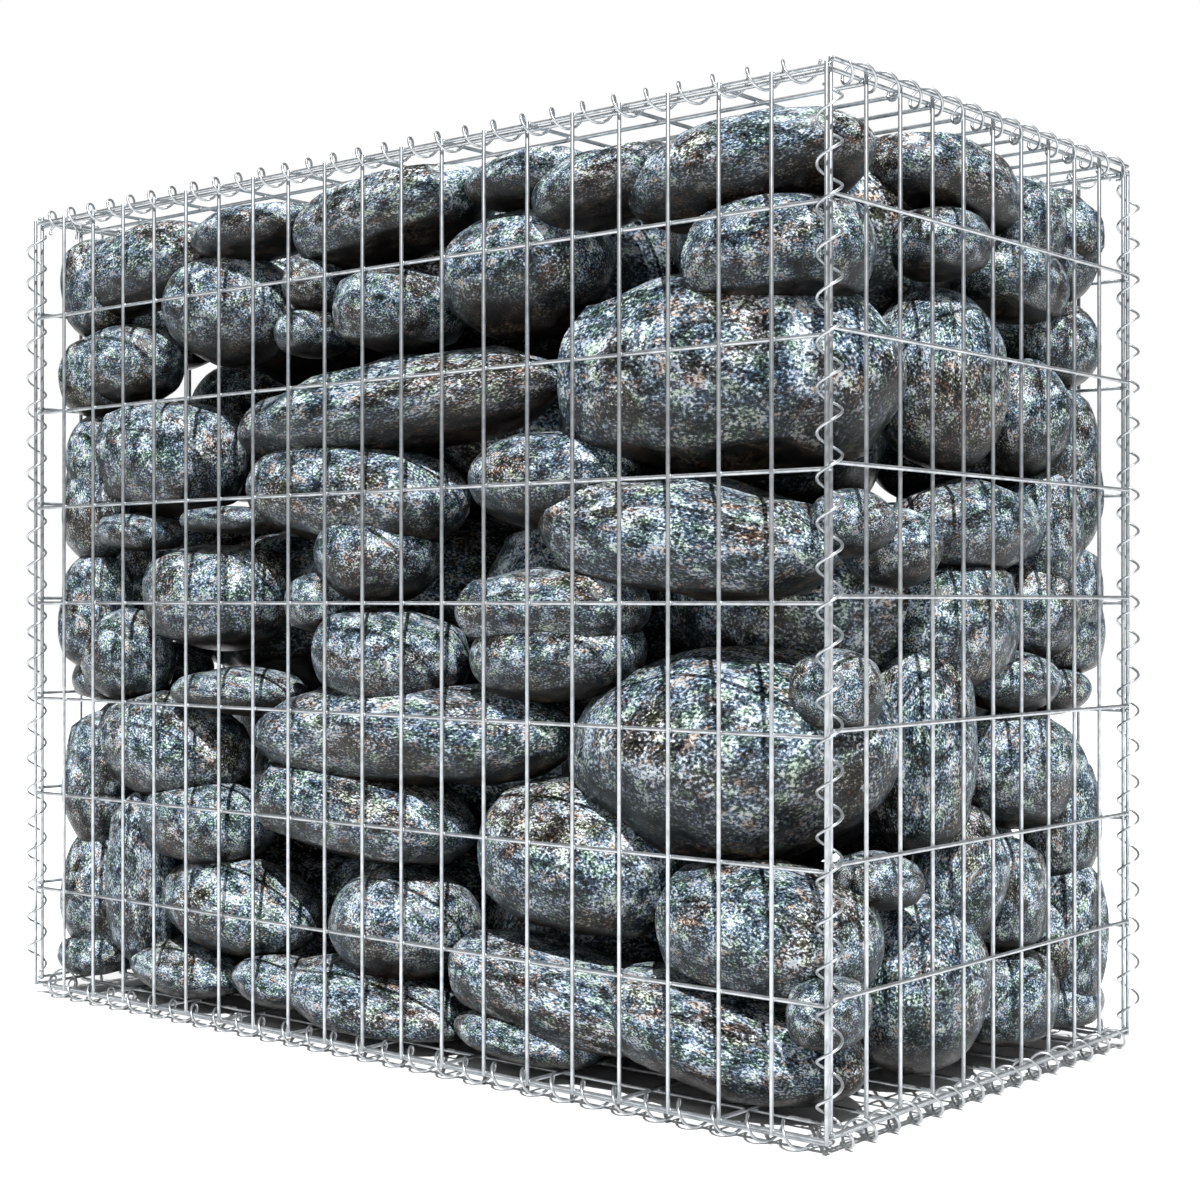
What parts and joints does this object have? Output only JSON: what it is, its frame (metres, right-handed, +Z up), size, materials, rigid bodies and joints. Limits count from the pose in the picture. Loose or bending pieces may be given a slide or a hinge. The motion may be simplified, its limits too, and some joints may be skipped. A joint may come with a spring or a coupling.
{
  "type": "welded mesh gabion basket filled with stone",
  "caption": "Box-shaped gabion of welded wire mesh panels laced along every edge with spiral wires and filled with bedded granite boulders.",
  "frame": {"origin": "centre of the footprint, on the ground under the bottom spirals", "axes": "+X along the wall, -Y is the long front face, +Z up"},
  "size_m": [1.0244, 0.5244, 0.8278],
  "materials": {
    "galvanised_mesh": "hot-dip galvanised welded wire, satin light grey",
    "galvanised_spiral": "galvanised spiral wire, satin, a little brighter than the mesh",
    "granite_fill": "dark blue-grey granite with white, green and rust speckle"
  },
  "bodies": {
    "root": {"back_left_spiral": "galvanised_spiral", "back_lower_corner_boulder": "granite_fill", "back_mesh_panel": "galvanised_mesh", "back_right_spiral": "galvanised_spiral", "back_stones_course_1": "granite_fill", "back_stones_course_2": "granite_fill", "back_stones_course_3": "granite_fill", "back_stones_course_4": "granite_fill", "back_stones_course_5": "granite_fill", "back_upper_corner_boulder": "granite_fill", "base_mesh_panel": "galvanised_mesh", "bottom_back_spiral": "galvanised_spiral", "bottom_front_spiral": "galvanised_spiral", "bottom_left_spiral": "galvanised_spiral", "bottom_right_spiral": "galvanised_spiral", "front_left_spiral": "galvanised_spiral", "front_lower_corner_boulder": "granite_fill", "front_mesh_panel": "galvanised_mesh", "front_right_spiral": "galvanised_spiral", "front_stones_course_1": "granite_fill", "front_stones_course_2": "granite_fill", "front_stones_course_3": "granite_fill", "front_stones_course_4": "granite_fill", "front_stones_course_5": "granite_fill", "front_upper_corner_boulder": "granite_fill", "left_end_lower_stones": "granite_fill", "left_end_mesh_panel": "galvanised_mesh", "left_end_upper_stones": "granite_fill", "lid_mesh_panel": "galvanised_mesh", "lower_core_stones": "granite_fill", "right_end_lower_stones": "granite_fill", "right_end_mesh_panel": "galvanised_mesh", "right_end_upper_stones": "granite_fill", "top_back_spiral": "galvanised_spiral", "top_front_spiral": "galvanised_spiral", "top_left_spiral": "galvanised_spiral", "top_right_spiral": "galvanised_spiral", "upper_core_stones": "granite_fill"}
  },
  "joints": []
}
